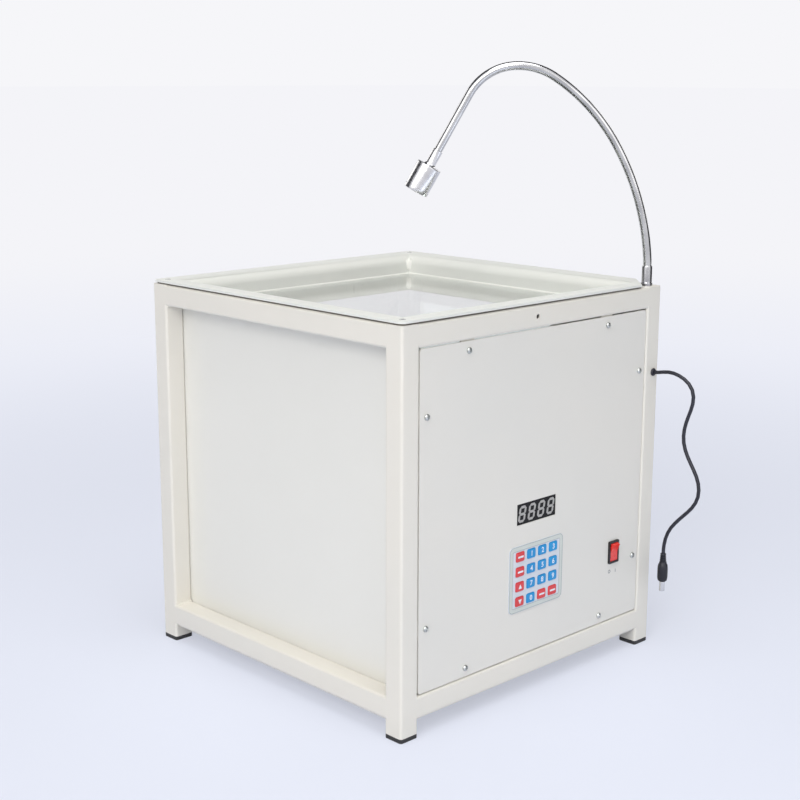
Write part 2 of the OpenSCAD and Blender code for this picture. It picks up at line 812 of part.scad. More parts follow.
module neck_straight(len) { linear_extrude(len) neck_ring(); }

function bend_radius(run) = run[0] / (run[1] * PI / 180);

// Tube from the origin along z that bends towards x
module neck_bend(run) {
    r = bend_radius(run);
    mirror([1, 0, 0]) translate([-r, 0, 0]) rotate([90, 0, 0])
        rotate_extrude(angle = run[1], $fn = neck_steps) translate([r, 0]) neck_ring($fn = 64);
}

// Puts its child at the end of such a bend, z along the tube
module at_bend_end(run) {
    r = bend_radius(run);
    translate([r * (1 - cos(run[1])), 0, r * sin(run[1])]) rotate([0, run[1], 0]) children();
}

// Ball at the end of a segment, with its root inside the tube
module neck_ball() {
    rotate_extrude() intersection() {
        circle(r = ball_r);
        translate([0, -ball_root]) square([ball_r, ball_r + ball_root]);
    }
}

module neck_ball_bore() {
    translate([0, 0, -ball_root - cut])
        cylinder(d = ball_bore_d, h = ball_root + ball_r + 2 * cut);
}

// What is cut off a segment's start for the ball before it, z into the segment
module neck_cup() {
    sphere(r = cup_r);
    translate([0, 0, -neck_d]) cylinder(d = 2 * neck_d, h = neck_d + neck_joint_gap);
}

// Segment along one bend, with a cup at its start and a ball at its end
module neck_segment(run, at) {
    color(steel) neck_plane() at_neck(at) difference() {
        union() {
            neck_bend(run);
            at_bend_end(run) neck_ball();
        }
        at_bend_end(run) neck_ball_bore();
        neck_cup();
    }
}

module neck_segment_1() {
    socket = neck_runs[0][0];
    run = neck_runs[1];
    color(steel) neck_plane() at_neck(neck_at[1]) difference() {
        union() {
            translate([0, 0, -socket]) neck_straight(socket);
            neck_bend(run);
            at_bend_end(run) neck_ball();
        }
        at_bend_end(run) neck_ball_bore();
    }
}

module neck_segment_2() { neck_segment(neck_runs[2], neck_at[2]); }
module neck_segment_3() { neck_segment(neck_runs[3], neck_at[3]); }
module neck_segment_4() { neck_segment(neck_runs[4], neck_at[4]); }

module neck_segment_5() {
    run = neck_runs[5];
    color(steel) neck_plane() at_neck(neck_at[6]) difference() {
        union() {
            mirror([0, 0, 1]) neck_bend(run);
            neck_straight(neck_runs[6][0] - stem_floor);
        }
        mirror([0, 0, 1]) at_bend_end(run) mirror([0, 0, 1]) neck_cup();
    }
}

module neck_ferrule() {
    color(steel) neck_plane() difference() {
        union() {
            translate([0, 0, frame_h]) cylinder(d = ferrule_d, h = ferrule_foot_h);
            translate([0, 0, frame_h + ferrule_foot_h])
                cylinder(d1 = ferrule_d, d2 = ferrule_neck_d, h = ferrule_h - ferrule_foot_h);
            translate([0, 0, frame_h - ferrule_shank_len])
                cylinder(d = ferrule_shank_d, h = ferrule_shank_len);
        }
        translate([0, 0, ferrule_socket_z]) cylinder(r = neck_d / 2 + running, h = ferrule_h);
        translate([0, 0, frame_h - ferrule_shank_len - cut]) cylinder(d = neck_bore_d, h = ferrule_h);
    }
}

// The turned head, z along its axis, from the stem to the mouth
module lamp_housing() {
    chamfer = 1.5;
    mouth_r = lamp_d / 2 - lamp_lip;
    floor_z = lamp_len / 2;
    color([0.78, 0.78, 0.8]) neck_plane() at_neck(head_at) rotate_extrude() polygon([
        [lamp_bore_r, -lamp_stem_len], [stem_d / 2, -lamp_stem_len], [stem_d / 2, 0],
        [lamp_d / 2 - chamfer, 0], [lamp_d / 2, chamfer],
        [lamp_d / 2, lamp_len - chamfer / 2], [lamp_d / 2 - chamfer / 2, lamp_len],
        [mouth_r, lamp_len], [mouth_r, floor_z], [neck_bore_d / 2, floor_z],
        [neck_bore_d / 2, -stem_floor + slip], [lamp_bore_r, -stem_floor + slip]]);
}

module lamp_led() {
    star_t = 1.6;
    color([0.95, 0.95, 0.8]) neck_plane() at_neck(head_at) translate([0, 0, lamp_len / 2]) {
        cylinder(r = lamp_d / 2 - lamp_lip - slip, h = star_t);
        translate([0, 0, star_t]) cylinder(r = 3, h = 1.2);
    }
}

module lamp_lens() {
    lens_t = 3;
    mouth_recess = 1;
    color([0.95, 0.95, 0.95, 0.6]) neck_plane() at_neck(head_at)
        translate([0, 0, lamp_len - mouth_recess - lens_t])
            cylinder(r = lamp_d / 2 - lamp_lip - running, h = lens_t);
}

module cord_grommet() {
    color(black) translate([cord_x, 0, cord_z]) rotate([90, 0, 0]) rotate_extrude() polygon([
        [cord_d / 2 + running, -4], [grommet_shank_d / 2, -4], [grommet_shank_d / 2, 0],
        [grommet_d / 2, 0], [grommet_d / 2, grommet_t / 2], [grommet_d / 2 - 1, grommet_t],
        [cord_d / 2 + running, grommet_t]]);
}

// Direction of the cord at a point of its route
function cord_dir(i) = let (last = len(cord_route) - 1)
    i == 0 ? [1, 0] : i == last ? [0, -1] : cord_route[i + 1] - cord_route[i - 1];

// Ring of points around the route, in millimetres in the model's frame
function cord_ring(i) = let (p = cord_route[i], d = cord_dir(i) / norm(cord_dir(i)))
    [for (k = [0 : cord_sides - 1]) let (a = 360 * k / cord_sides, side = cos(a) * cord_d / 2,
                                         up = sin(a) * cord_d / 2)
        [cord_x + side, -(p[0] - d[1] * up), p[1] + d[0] * up]];

module cord() {
    rings = len(cord_route);
    n = cord_sides;
    points = [for (i = [0 : rings - 1]) each cord_ring(i)];
    walls = [for (i = [0 : rings - 2], k = [0 : n - 1]) let (a = i * n + k, b = i * n + (k + 1) % n)
        each [[a, b, b + n], [a, b + n, a + n]]];
    caps = [[for (k = [n - 1 : -1 : 0]) k], [for (k = [0 : n - 1]) (rings - 1) * n + k]];
    color(black) polyhedron(points, concat(walls, caps));
}

module plug_body() {
    neck_len = 9;
    neck_r = cord_d / 2 + 1;
    color(black) translate([cord_x, -plug_fwd, plug_top]) rotate([180, 0, 0]) rotate_extrude() polygon([
        [0, 0], [neck_r, 0], [neck_r + 0.6, neck_len], [plug_d / 2 - 0.6, neck_len + 2],
        [plug_d / 2, neck_len + 4], [plug_d / 2, plug_len - 1], [plug_d / 2 - 1, plug_len],
        [0, plug_len]]);
}

module plug_barrel() {
    color(steel) translate([cord_x, -plug_fwd, plug_top - plug_len - barrel_len]) difference() {
        cylinder(d = barrel_d, h = barrel_len);
        translate([0, 0, -cut]) cylinder(d = barrel_bore_d, h = barrel_len);
    }
}

// The parts above stand from the frame's front left corner; the origin is under its middle
translate([-frame_w / 2, -frame_d / 2, 0]) {
    post_front_left();
    post_front_right();
    post_back_left();
    post_back_right();
    top_rail_front();
    top_rail_back();
    top_rail_left();
    top_rail_right();
    bottom_rail_front();
    bottom_rail_back();
    bottom_rail_left();
    bottom_rail_right();
    foot_caps();
    panel_tabs();
    front_panel();
    right_panel();
    back_panel();
    base_plate();
    frame_screws();
    screen();
    tray_pan();
    tray_gasket();
    tray_glass();
    mirror_plate();
    mirror_ledges();
    display_module();
    keypad_body();
    control_board();
    board_standoffs();
    switch_body();
    switch_rocker();
    neck_ferrule();
    neck_segment_1();
    neck_segment_2();
    neck_segment_3();
    neck_segment_4();
    neck_segment_5();
    lamp_housing();
    lamp_lens();
    lamp_led();
    cord_grommet();
    cord();
    plug_body();
    plug_barrel();
    for (row = [1 : KEY_ROWS], col = [1 : KEY_COLS])
        key(row, col);
}
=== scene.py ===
import json
import math

import bmesh
import bpy
from mathutils import Matrix, Vector

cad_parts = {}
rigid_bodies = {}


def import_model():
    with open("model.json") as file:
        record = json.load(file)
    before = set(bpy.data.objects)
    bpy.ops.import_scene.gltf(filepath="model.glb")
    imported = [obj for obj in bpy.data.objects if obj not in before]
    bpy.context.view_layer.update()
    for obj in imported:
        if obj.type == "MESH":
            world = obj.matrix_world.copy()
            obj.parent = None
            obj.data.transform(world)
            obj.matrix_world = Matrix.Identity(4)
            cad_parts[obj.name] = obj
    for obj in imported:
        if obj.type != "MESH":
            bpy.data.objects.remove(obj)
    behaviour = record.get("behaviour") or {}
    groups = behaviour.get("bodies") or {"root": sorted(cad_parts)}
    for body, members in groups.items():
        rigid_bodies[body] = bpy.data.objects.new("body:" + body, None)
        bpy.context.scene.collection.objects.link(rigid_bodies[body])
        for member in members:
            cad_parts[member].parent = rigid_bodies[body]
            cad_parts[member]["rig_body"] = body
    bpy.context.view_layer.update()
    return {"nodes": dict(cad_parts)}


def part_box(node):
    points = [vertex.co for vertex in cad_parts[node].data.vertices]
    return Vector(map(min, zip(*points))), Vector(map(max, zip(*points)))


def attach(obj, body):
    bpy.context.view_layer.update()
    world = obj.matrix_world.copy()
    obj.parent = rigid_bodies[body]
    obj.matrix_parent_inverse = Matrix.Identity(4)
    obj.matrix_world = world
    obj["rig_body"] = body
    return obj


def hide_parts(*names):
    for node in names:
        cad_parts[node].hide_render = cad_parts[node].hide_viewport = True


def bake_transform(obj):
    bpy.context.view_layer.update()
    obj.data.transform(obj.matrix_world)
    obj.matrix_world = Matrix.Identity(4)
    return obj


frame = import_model()

MM = 0.001
UP = Vector((0, 0, 1))
CAMERA_PLACE = (-0.9617, -0.9880, 0.5478)
CAMERA_FORWARD = (0.6781, 0.7025, -0.2160)
CAMERA_RIGHT = (0.7199, -0.6940, 0.0028)
CAMERA_LENS = 66.06
SENSOR_WIDTH = 36

# Sizes that the construction also uses, in millimetres. The lead's route is its distance from the
# front face and its height, and a run of the neck is its length and its turn in degrees.
FACE_Y = -170.0
FRAME_TOP = 355.0
TUBE_R = 2.5
WALL_IN = 26.0
PAN_BEND = 4.0
CORD_X = 162.0
CORD_D = 3.5
CORD_ROUTE = [
    (2, 273), (6, 273.4), (12, 274.6), (18, 275.4), (24, 275.2), (30, 273.8), (36, 271.4),
    (41.5, 267.6), (45.5, 262.4), (47.2, 256), (46.8, 249.5), (45, 243), (42.6, 236.6),
    (40.4, 230.2), (38.8, 223.6), (38.2, 217), (38.8, 210.4), (40.8, 204), (43.8, 198),
    (47.4, 192.2), (51.2, 186.4), (54.6, 180.6), (57, 174.4), (58, 168), (57.4, 161.4),
    (55, 155.2), (51.4, 149.6), (47, 144.6), (42.2, 139.8), (37.4, 135), (32.8, 130),
    (28.6, 124.8), (25.2, 119), (22.8, 112.6), (21.4, 106), (21, 101.6), (21, 97.5)]
NECK_RUNS = [(16, 0), (7, 4.5), (110.5, 25.5), (85, 27), (41, 38), (49, 56), (74, 0)]
NECK_FOOT = Vector((160, -160, 358))
NECK_HEADING = Vector((-math.sqrt(0.5), math.sqrt(0.5), 0))
NECK_R = 4.0
LAMP_STEM = 16
LAMP_R = 12.0
LAMP_LEN = 27.0


# Camera

def new_object(name, data):
    """A new object in the scene, at the origin and unturned."""
    made = bpy.data.objects.new(name, data)
    bpy.context.scene.collection.objects.link(made)
    return made


def make_camera():
    forward = Vector(CAMERA_FORWARD).normalized()
    right = Vector(CAMERA_RIGHT)
    right = (right - forward * right.dot(forward)).normalized()
    turn = Matrix((right, right.cross(forward), -forward)).transposed()
    data = bpy.data.cameras.new("camera")
    data.lens = CAMERA_LENS
    data.sensor_width = SENSOR_WIDTH
    camera = new_object("camera", data)
    camera.matrix_world = Matrix.Translation(CAMERA_PLACE) @ turn.to_4x4()
    bpy.context.scene.camera = camera


make_camera()


# Finishes

# The values of a pattern between which the roughness and the colour change
NOISE_RANGE = (0.3, 0.7)
DRIFT_RANGE = (0.35, 0.65)


def srgb(r, g, b):
    def linear(c):
        return c / 12.92 if c <= 0.04045 else ((c + 0.055) / 1.055) ** 2.4
    return (linear(r / 255), linear(g / 255), linear(b / 255), 1.0)


class Finish:
    """A surface finish whose pattern follows the object's own coordinates."""

    def __init__(self, name, colour, roughness, metallic=0.0, **sockets):
        self.material = bpy.data.materials.new(name)
        self.material.use_nodes = True
        self.tree = self.material.node_tree
        self.shader = self.tree.nodes["Principled BSDF"]
        self.coords = self.tree.nodes.new("ShaderNodeTexCoord").outputs["Object"]
        self.shader.inputs["Base Color"].default_value = colour
        self.shader.inputs["Roughness"].default_value = roughness
        self.shader.inputs["Metallic"].default_value = metallic
        for socket, value in sockets.items():
            self.shader.inputs[socket.replace("_", " ")].default_value = value
        self.colour = colour

    def node(self, kind, **inputs):
        made = self.tree.nodes.new(kind)
        for name, value in inputs.items():
            socket = made.inputs[name.replace("_", " ")]
            if isinstance(value, bpy.types.NodeSocket):
                self.tree.links.new(value, socket)
            else:
                socket.default_value = value
        return made

    def noise(self, scale, detail=3.0, stretch=(1, 1, 1)):
        coords = self.coords
        if stretch != (1, 1, 1):
            coords = self.node("ShaderNodeMapping", Vector=coords, Scale=stretch).outputs["Vector"]
        made = self.node("ShaderNodeTexNoise", Vector=coords, Scale=scale, Detail=detail)
        return made.outputs["Fac"]

    def cells(self, scale):
        made = self.node("ShaderNodeTexVoronoi", Vector=self.coords, Scale=scale)
        return made.outputs["Distance"]

    def vary_colour(self, other, pattern):
        ramp = self.node("ShaderNodeValToRGB", Fac=pattern)
        ends = ramp.color_ramp.elements
        ends[0].position, ends[1].position = DRIFT_RANGE
        ends[0].color, ends[1].color = self.colour, other
        self.tree.links.new(ramp.outputs["Color"], self.shader.inputs["Base Color"])

    def vary_roughness(self, low, high, pattern):
        spread = self.node("ShaderNodeMapRange", Value=pattern, From_Min=NOISE_RANGE[0],
                           From_Max=NOISE_RANGE[1], To_Min=low, To_Max=high)
        self.tree.links.new(spread.outputs["Result"], self.shader.inputs["Roughness"])

    def bump(self, pattern, strength, distance):
        made = self.node("ShaderNodeBump", Height=pattern, Strength=strength, Distance=distance)
        self.tree.links.new(made.outputs["Normal"], self.shader.inputs["Normal"])
        return self


def powder_coat(name, colour, cooler, roughness, **sockets):
    """Baked paint: a faint drift of tone, and fine orange peel."""
    finish = Finish(name, colour, roughness, **sockets)
    finish.vary_colour(cooler, finish.noise(7, detail=4))
    finish.vary_roughness(roughness - 0.04, roughness + 0.06, finish.noise(90))
    return finish.bump(finish.noise(900, detail=2), strength=0.08, distance=0.0003)


def moulded(name, colour, other, roughness, strength=0.12, **sockets):
    """Moulded plastic or rubber with a fine grain."""
    finish = Finish(name, colour, roughness, **sockets)
    finish.vary_colour(other, finish.noise(40, detail=4))
    finish.vary_roughness(roughness - 0.05, roughness + 0.08, finish.noise(120))
    return finish.bump(finish.noise(1800, detail=2), strength, distance=0.0002)


def bright_metal(name, colour, other, roughness, marks, stretch=(1, 1, 1)):
    """Metal with fine tool marks, given by their scale and the way they are stretched."""
    finish = Finish(name, colour, roughness, metallic=1.0)
    finish.vary_colour(other, finish.noise(50, detail=4))
    finish.vary_roughness(roughness * 0.7, roughness * 1.4, finish.noise(marks / 4, 3, stretch))
    return finish.bump(finish.noise(marks, 2, stretch), strength=0.05, distance=0.0001)


# Each has its colour, the one it drifts to, its roughness and, if it is metal, its tool marks
FRAME_PAINT = powder_coat("frame_paint", srgb(231, 227, 218), srgb(228, 225, 217), 0.36)
PANEL_PAINT = powder_coat("panel_paint", srgb(229, 226, 219), srgb(226, 224, 218), 0.38)
TRAY_PAINT = powder_coat("tray_paint", srgb(230, 231, 226), srgb(227, 229, 224), 0.34,
                         Specular_IOR_Level=0.2)
FOOT = moulded("foot_plastic", srgb(34, 34, 35), srgb(42, 42, 43), 0.55)
GASKET = moulded("gasket_rubber", srgb(96, 90, 84), srgb(112, 106, 98), 0.75, strength=0.3)
SCREEN = Finish("screen_opal", srgb(238, 237, 231), 0.5, Transmission_Weight=0.06,
                Coat_Weight=0.6, Coat_Roughness=0.10)
SCREEN.vary_colour(srgb(236, 235, 229), SCREEN.noise(5, detail=4))
SCREEN.bump(SCREEN.noise(25, detail=2), strength=0.02, distance=0.001)
GLASS = Finish("tray_glass", srgb(248, 252, 250), 0.02, Transmission_Weight=1.0, IOR=1.5,
               Coat_Weight=1.0, Coat_IOR=1.8, Coat_Roughness=0.02)
GLASS.bump(GLASS.noise(30, detail=2), strength=0.01, distance=0.0005)
MIRROR = Finish("mirror_silver", srgb(236, 238, 238), 0.02, metallic=1.0)
MIRROR.bump(MIRROR.noise(12, detail=2), strength=0.01, distance=0.0005)
SILICONE = moulded("sealant", srgb(236, 237, 231), srgb(241, 241, 236), 0.32, strength=0.05)
STRIP_STEEL = bright_metal("strip_steel", srgb(170, 171, 173), srgb(150, 151, 154), 0.35, 400)
SCREW_STEEL = bright_metal("screw_steel", srgb(206, 208, 206), srgb(180, 184, 182), 0.24, 900)
NECK_CHROME = bright_metal("neck_chrome", srgb(206, 206, 207), srgb(186, 186, 188), 0.14, 1500)
FERRULE_CHROME = bright_metal("ferrule_chrome", srgb(186, 186, 188), srgb(166, 166, 170), 0.18,
                              900, stretch=(1, 1, 12))
LAMP_METAL = bright_metal("lamp_aluminium", srgb(222, 222, 224), srgb(206, 206, 209), 0.22, 700)
LENS = Finish("lamp_lens", srgb(240, 240, 238), 0.25, Transmission_Weight=0.8, IOR=1.49)
LENS.bump(LENS.cells(900), strength=0.3, distance=0.0003)
LED = Finish("lamp_led", srgb(240, 216, 120), 0.35, Subsurface_Weight=0.1)
LED.vary_colour(srgb(250, 240, 200), LED.noise(300))
DISPLAY_BLACK = moulded("display_black", srgb(14, 14, 15), srgb(20, 19, 20), 0.35, strength=0.03,
                        Specular_IOR_Level=0.2)
DIGIT_GREY = Finish("digit_grey", srgb(178, 176, 173), 0.45)
DIGIT_GREY.vary_colour(srgb(168, 166, 164), DIGIT_GREY.noise(400))
KEYPAD_FILM = moulded("keypad_film", srgb(217, 221, 228), srgb(213, 218, 226), 0.38, strength=0.08)
KEYPAD_BAND = moulded("keypad_band", srgb(210, 215, 210), srgb(205, 211, 207), 0.38, strength=0.08)
KEYPAD_LINE = moulded("keypad_line", srgb(170, 178, 176), srgb(160, 170, 170), 0.40)
KEY_RED = moulded("key_red", srgb(222, 66, 70), srgb(214, 58, 64), 0.34, strength=0.08)
KEY_BLUE = moulded("key_blue", srgb(20, 150, 214), srgb(16, 140, 206), 0.34, strength=0.08)
KEY_PRINT = Finish("key_print", srgb(236, 242, 248), 0.40)
KEY_PRINT.vary_colour(srgb(228, 236, 244), KEY_PRINT.noise(600))
BOARD_GREEN = moulded("board_green", srgb(24, 92, 54), srgb(20, 80, 48), 0.35)
BRASS = bright_metal("standoff_brass", srgb(196, 164, 92), srgb(180, 150, 84), 0.28, 800)
SWITCH_BLACK = moulded("switch_black", srgb(22, 20, 21), srgb(30, 28, 29), 0.30, strength=0.05)
ROCKER_RED = Finish("rocker_red", srgb(238, 40, 34), 0.16, Coat_Weight=0.4, Subsurface_Weight=0.08)
ROCKER_RED.vary_colour(srgb(244, 56, 46), ROCKER_RED.noise(150))
PANEL_PRINT = Finish("panel_print", srgb(96, 100, 106), 0.5)
PANEL_PRINT.vary_colour(srgb(112, 116, 122), PANEL_PRINT.noise(500))
CORD_BLACK = moulded("cord_black", srgb(24, 25, 36), srgb(32, 33, 46), 0.42, strength=0.08)
PLUG_BLACK = moulded("plug_black", srgb(18, 19, 30), srgb(27, 28, 40), 0.38, strength=0.10)
PLUG_METAL = bright_metal("plug_metal", srgb(222, 222, 224), srgb(204, 204, 208), 0.22, 900)


# Making pieces

MERGE = 2e-6  # points closer than this are one, in metres
FLAT = 0.5  # faces that differ less than this lie in one plane, in degrees
SHARP = 38  # an edge above this stays sharp
SOFTENED = 40  # and one above this is rounded, where the piece asks for it


def smooth(mesh, angle=SHARP):
    mesh.shade_smooth()
    mesh.set_sharp_from_angle(angle=math.radians(angle))


def add_piece(name, mesh, finish, body=None):
    mesh.materials.clear()
    mesh.materials.append(finish.material)
    piece = new_object(name, mesh)
    if body:
        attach(piece, body)
    return piece


def to_mesh(name, bm, angle=SHARP):
    mesh = bpy.data.meshes.new(name)
    bm.to_mesh(mesh)
    bm.free()
    smooth(mesh, angle)
    return mesh


def round_edges(piece, width, segments):
    bevel = piece.modifiers.new("edges", "BEVEL")
    bevel.width = width * MM
    bevel.segments = segments
    bevel.limit_method = "ANGLE"
    bevel.angle_limit = math.radians(SOFTENED)
    bevel.harden_normals = False


def even_normals(piece):
    weighted = piece.modifiers.new("even_normals", "WEIGHTED_NORMAL")
    weighted.keep_sharp = True


def joined_copy(node_name):
    """The node's own shape with its triangles joined."""
    bm = bmesh.new()
    bm.from_mesh(frame["nodes"][node_name].data)
    bmesh.ops.remove_doubles(bm, verts=bm.verts, dist=MERGE)
    return bm


def merged_copy(node_name):
    """The node's own shape with its triangles joined and its flat faces made whole."""
    bm = joined_copy(node_name)
    bmesh.ops.dissolve_limit(bm, angle_limit=math.radians(FLAT), verts=bm.verts, edges=bm.edges)
    return bm


def dress(node_name, finish, edge=0.0, segments=2, shape=None):
    """A finished skin of the node's own shape, or of one given for it, with softened edges."""
    body = frame["nodes"][node_name]["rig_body"]
    name = node_name + "_skin"
    piece = add_piece(name, to_mesh(name, shape or merged_copy(node_name)), finish, body)
    if edge:
        round_edges(piece, edge, segments)
    even_normals(piece)
    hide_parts(node_name)
    return piece


def paint_node(node_name, finish):
    mesh = frame["nodes"][node_name].data
    mesh.materials.clear()
    mesh.materials.append(finish.material)


def curve_of(name, points, radius, sides, radii=None):
    """A round curve through the points, with each point's share of the radius where given."""
    data = bpy.data.curves.new(name, "CURVE")
    data.dimensions = "3D"
    data.bevel_depth = radius
    data.bevel_resolution = sides
    data.use_fill_caps = True
    spline = data.splines.new("POLY")
    spline.points.add(len(points) - 1)
    for i, point in enumerate(points):
        spline.points[i].co = (*point, 1)
        spline.points[i].radius = radii[i] if radii else 1.0
    return data


def shown_mesh(piece):
    """The mesh that the piece shows, its modifiers applied. The piece itself goes."""
    bpy.context.view_layer.update()
    shown = piece.evaluated_get(bpy.context.evaluated_depsgraph_get())
    mesh = bpy.data.meshes.new_from_object(shown)
    bpy.data.objects.remove(piece)
    return mesh


def tube(name, points, radius, finish, body, sides, radii):
    mesh = shown_mesh(new_object(name, curve_of(name, points, radius, sides, radii)))
    mesh.name = name
    smooth(mesh, 60)
    return add_piece(name, mesh, finish, body)


def spun(name, profile, finish, body=None, place=None, steps=48, angle=SHARP):
    """A turned piece: its profile is (radius, height) in millimetres, from axis to axis."""
    bm = bmesh.new()
    verts = [bm.verts.new((r * MM, 0, z * MM)) for r, z in profile]
    edges = [bm.edges.new(pair) for pair in zip(verts, verts[1:])]
    bmesh.ops.spin(bm, geom=verts + edges, cent=(0, 0, 0), axis=(0, 0, 1), angle=math.tau,
                   steps=steps, use_merge=True)
    bmesh.ops.remove_doubles(bm, verts=bm.verts, dist=MERGE / 2)
    bmesh.ops.recalc_face_normals(bm, faces=bm.faces)
    mesh = to_mesh(name, bm, angle)
    if place:
        mesh.transform(place)
    return add_piece(name, mesh, finish, body)


# Cord, plug and grommet

def make_cord():
    points = [Vector((CORD_X, FACE_Y - forward, z)) * MM for forward, z in CORD_ROUTE]
    data = curve_of("lead", points, CORD_D / 2 * MM, sides=5)
    data.materials.append(CORD_BLACK.material)
    lead = new_object("lead", data)
    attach(lead, "root")
    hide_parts("cord")
    moulding = make_plug(points[-1])
    barrel = dress("plug_barrel", PLUG_METAL, 0.25)


def make_plug(top):
    """The moulding: a ribbed strain relief that swells into a waisted grip."""
    low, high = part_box("plug_body")
    end = (low.z - high.z) / MM
    widest = (high.x - low.x) / 2 / MM
    neck = CORD_D / 2 + 1
    ribs, first, pitch, swell, groove = 4, -1.4, 1.9, 0.15, 0.55
    profile = [(0, 0), (neck - 0.5, 0), (neck, -0.5)]
    for i in range(ribs):
        r = neck + swell * i
        z = first - pitch * i
        profile += [(r, z), (r - groove, z - 0.3), (r - groove, z - 0.8), (r + 0.1, z - 1.1)]
    profile += [(widest - 1.3, -10.2), (widest - 0.5, -11.6), (widest - 0.15, -13.4),
                (widest, -16), (widest, end + 5), (widest - 0.15, end + 3),
                (widest - 0.6, end + 1.2), (widest - 1.6, end + 0.3), (widest - 2.2, end),
                (0, end)]
    moulding = spun("plug_moulding", profile, PLUG_BLACK, "root",
                    Matrix.Translation(top), steps=40, angle=50)
    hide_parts("plug_body")
    return moulding


make_cord()


# Frame of square tube

POSTS = [f"post_{depth}_{side}" for depth in ("front", "back") for side in ("left", "right")]
RAILS = [f"{level}_rail_{side}" for level in ("top", "bottom")
         for side in ("front", "back", "left", "right")]
GROUND = 0.03  # a rail's faces lie this far inside the posts' faces
WELD_R = 1.3
WELD_STARTS, WELD_STOPS = 2.0, 0.5  # from the rail's outer face and from its inner one


def bead(name, start, end, radius, finish, wobble=0.12, ripple=1.4):
    """A run of weld or sealant, with the small ripples of its making."""
    per_ripple = 3
    length = (end - start).length / MM
    count = max(int(length / ripple) * per_ripple, 2 * per_ripple)
    points = [start.lerp(end, i / count) for i in range(count + 1)]
    radii = [1 + wobble * math.sin(math.tau * i / per_ripple) for i in range(count + 1)]
    radii[0] = radii[-1] = 0.5
    tube(name, points, radius * MM, finish, "root", 2, radii)


def welded_rail(node_name):
    """A rail whose ends fill the posts' round corners, as their ground welds do."""
    low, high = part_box(node_name)
    size = high - low
    along = max(range(3), key=lambda i: size[i])
    middle = (low + high) / 2
    bm = merged_copy(node_name)
    for vert in bm.verts:
        side = 1 if vert.co[along] > middle[along] else -1
        inward = middle - vert.co
        inward[along] = 0
        vert.co += inward.normalized() * GROUND * MM
        vert.co[along] += side * TUBE_R * MM
    return bm


def make_frame():
    for node_name in POSTS:
        dress(node_name, FRAME_PAINT)
    for node_name in RAILS:
        dress(node_name, FRAME_PAINT, shape=welded_rail(node_name))
    dress("foot_caps", FOOT, 0.5)
    dress("base_plate", FRAME_PAINT, 0.3)
    dress("panel_tabs", FRAME_PAINT)
    make_welds("top_rail_left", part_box("top_rail_left")[0].z)
    make_welds("bottom_rail_left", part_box("bottom_rail_left")[1].z)


def make_welds(rail, z):
    """A bead at each end of the rail, where it meets the post."""
    low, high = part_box(rail)
    for end, y in (("front", low.y), ("back", high.y)):
        start = Vector((low.x + WELD_STARTS * MM, y, z))
        stop = Vector((high.x - WELD_STOPS * MM, y, z))
        bead(f"weld_{rail}_{end}", start, stop, WELD_R, FRAME_PAINT)


def make_panels():
    for node_name in ("front_panel", "right_panel", "back_panel"):
        dress(node_name, PANEL_PAINT, 0.35)


# Screws

PAN_HEAD = [(0, -8), (1.4, -8), (1.4, 0), (2.8, 0), (2.8, 0.75), (2.62, 1.25), (2.2, 1.7),
            (1.6, 1.98), (0.9, 2.08), (0, 2.1)]
FLAT_HEAD = [(0, -6.5), (1.4, -6.5), (1.4, -1.3), (2.75, -0.05), (2.7, 0), (0, 0)]
RECESS_LEN, RECESS_WIDTH, RECESS_DEPTH = 3.0, 0.75, 0.9
HEAD_TURN = 37  # each screw ends up turned by this much more than the one before, in degrees


def screw_parts():
    """Each screw's axis, its head's side along that axis, and its box."""
    bm = joined_copy("frame_screws")
    seen, parts = set(), []
    for seed in bm.verts:
        if seed in seen:
            continue
        group, todo = [], [seed]
        seen.add(seed)
        while todo:
            vert = todo.pop()
            group.append(vert.co.copy())
            for edge in vert.link_edges:
                other = edge.other_vert(vert)
                if other not in seen:
                    seen.add(other)
                    todo.append(other)
        low = Vector(map(min, zip(*group)))
        high = Vector(map(max, zip(*group)))
        axis = max(range(3), key=lambda i: high[i] - low[i])
        across = (axis + 1) % 3
        widest = max(group, key=lambda co: abs(co[across] - (low[across] + high[across]) / 2))
        side = 1 if widest[axis] > (low[axis] + high[axis]) / 2 else -1
        parts.append((axis, side, low, high))
    bm.free()
    return parts


def screw_head(name, profile):
    """One head with a cross recess, its crown up and its shank down, and its crown's height."""
    top = profile[-1][1]
    head = spun(name, profile, SCREW_STEEL, steps=24)
    slot_size = Matrix.Diagonal((RECESS_LEN * MM, RECESS_WIDTH * MM, 2 * RECESS_DEPTH * MM, 1))
    bm = bmesh.new()
    for turn in (0, 90):
        bmesh.ops.create_cube(bm, size=1, matrix=Matrix.Rotation(math.radians(turn), 4, "Z")
                              @ Matrix.Translation((0, 0, top * MM)) @ slot_size)
    cutter = add_piece("screw_cross", to_mesh("screw_cross", bm), SCREW_STEEL)
    cut = head.modifiers.new("cross", "BOOLEAN")
    cut.object = cutter
    cut.use_self = True
    mesh = shown_mesh(head)
    bpy.data.objects.remove(cutter)
    return mesh, top


